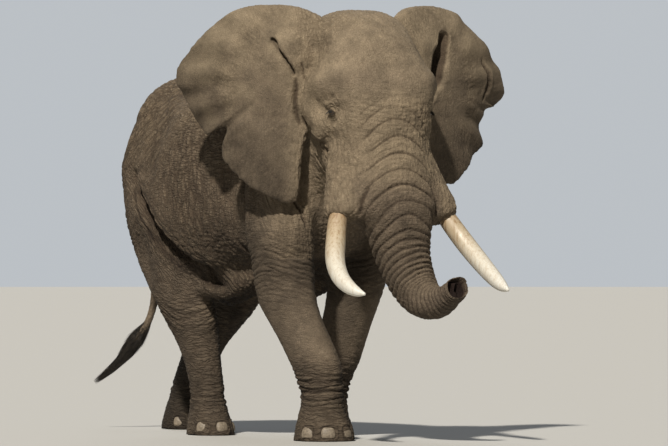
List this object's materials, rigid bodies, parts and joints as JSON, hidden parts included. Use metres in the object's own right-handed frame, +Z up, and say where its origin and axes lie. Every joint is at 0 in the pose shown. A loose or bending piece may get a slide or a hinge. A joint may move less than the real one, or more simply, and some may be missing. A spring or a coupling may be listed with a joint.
{
  "type": "african bush elephant bull",
  "caption": "Life-size walking African bush elephant bull with half-spread ears, curved tusks and a curled trunk.",
  "frame": {"origin": "on the ground under the middle of the whole box", "axes": "+Z up, the bull faces -Y, its left side is +X"},
  "size_m": [2.6938, 5.2946, 3.605],
  "materials": {
    "skin": "matt, wrinkled, dusty taupe hide",
    "ivory": "smooth, worn, stained towards the sheath",
    "eye": "wet, dark brown",
    "nail": "horny, satin",
    "hair": "coarse black bristle"
  },
  "bodies": {
    "root": {"ear_left": "skin", "ear_right": "skin", "eye_left": "eye", "eye_right": "eye", "front_left_foot": "skin", "front_left_lower": "skin", "front_left_upper": "skin", "front_right_foot": "skin", "front_right_lower": "skin", "front_right_upper": "skin", "head": "skin", "hind_left_foot": "skin", "hind_left_lower": "skin", "hind_left_upper": "skin", "hind_right_foot": "skin", "hind_right_lower": "skin", "hind_right_upper": "skin", "nail_front_left_1": "nail", "nail_front_left_2": "nail", "nail_front_left_3": "nail", "nail_front_left_4": "nail", "nail_front_right_1": "nail", "nail_front_right_2": "nail", "nail_front_right_3": "nail", "nail_front_right_4": "nail", "nail_hind_left_1": "nail", "nail_hind_left_2": "nail", "nail_hind_left_3": "nail", "nail_hind_right_1": "nail", "nail_hind_right_2": "nail", "nail_hind_right_3": "nail", "neck": "skin", "tail": "skin", "tail_brush": "hair", "torso": "skin", "trunk_curl": "skin", "trunk_middle": "skin", "trunk_tip": "skin", "trunk_upper": "skin", "tusk_left": "ivory", "tusk_right": "ivory"}
  },
  "joints": []
}
